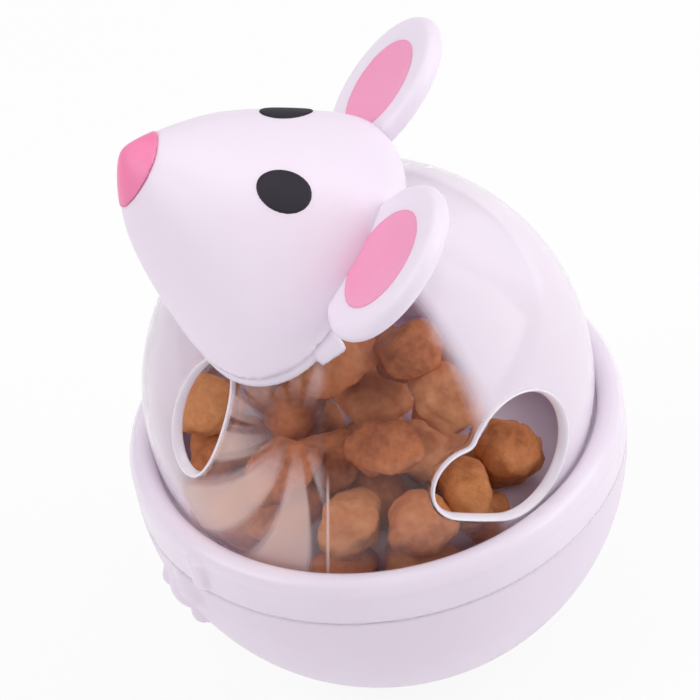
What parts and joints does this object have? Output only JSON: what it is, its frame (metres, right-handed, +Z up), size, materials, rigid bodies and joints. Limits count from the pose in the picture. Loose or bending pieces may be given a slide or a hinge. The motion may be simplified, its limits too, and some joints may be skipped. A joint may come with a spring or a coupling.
{
  "type": "treat dispensing mouse toy",
  "caption": "Weighted roly-poly bowl with a twist-on clear dome, treat outlets in the dome and a twist-on mouse head; kibble lies on a domed tray inside.",
  "frame": {"origin": "centre of the flat foot under the bowl", "axes": "+Z up along the bowl's axis, the mouse faces -Y, its left side is +X"},
  "size_m": [0.086, 0.086, 0.1103],
  "materials": {
    "bowl_plastic": "satin, slightly translucent",
    "collar_plastic": "satin, slightly translucent",
    "clear_plastic": "clear, polished",
    "tray_plastic": "satin",
    "head_plastic": "smooth satin",
    "plate_plastic": "smooth satin",
    "nose_plastic": "smooth satin",
    "ear_plastic": "satin",
    "inlay_plastic": "matte",
    "eye_plastic": "matte",
    "weight_steel": "turned",
    "screw_steel": "plated",
    "kibble": "dry, rough"
  },
  "bodies": {
    "base": {"base_bowl": "bowl_plastic", "counterweight": "weight_steel", "treat_tray": "tray_plastic", "base_screw": "screw_steel", "treats": "kibble"},
    "dome": {"collar_ring": "collar_plastic", "clear_dome": "clear_plastic"},
    "head": {"head_base": "plate_plastic", "head_screw": "screw_steel", "head_shell": "head_plastic", "nose_tip": "nose_plastic", "eye_left": "eye_plastic", "eye_right": "eye_plastic", "ear_left": "ear_plastic", "ear_right": "ear_plastic", "ear_inlay_left": "inlay_plastic", "ear_inlay_right": "inlay_plastic"}
  },
  "joints": [
    {"name": "dome_turn", "type": "hinge", "parent": "base", "child": "dome", "pos_m": [0, 0, 0.04157], "axis": [0, 0, 1], "range_deg": [0, 45]},
    {"name": "head_turn", "type": "hinge", "parent": "dome", "child": "head", "pos_m": [0, 0, 0.05477], "axis": [0, -0.3584, 0.9336], "range_deg": [0, 60]}
  ]
}
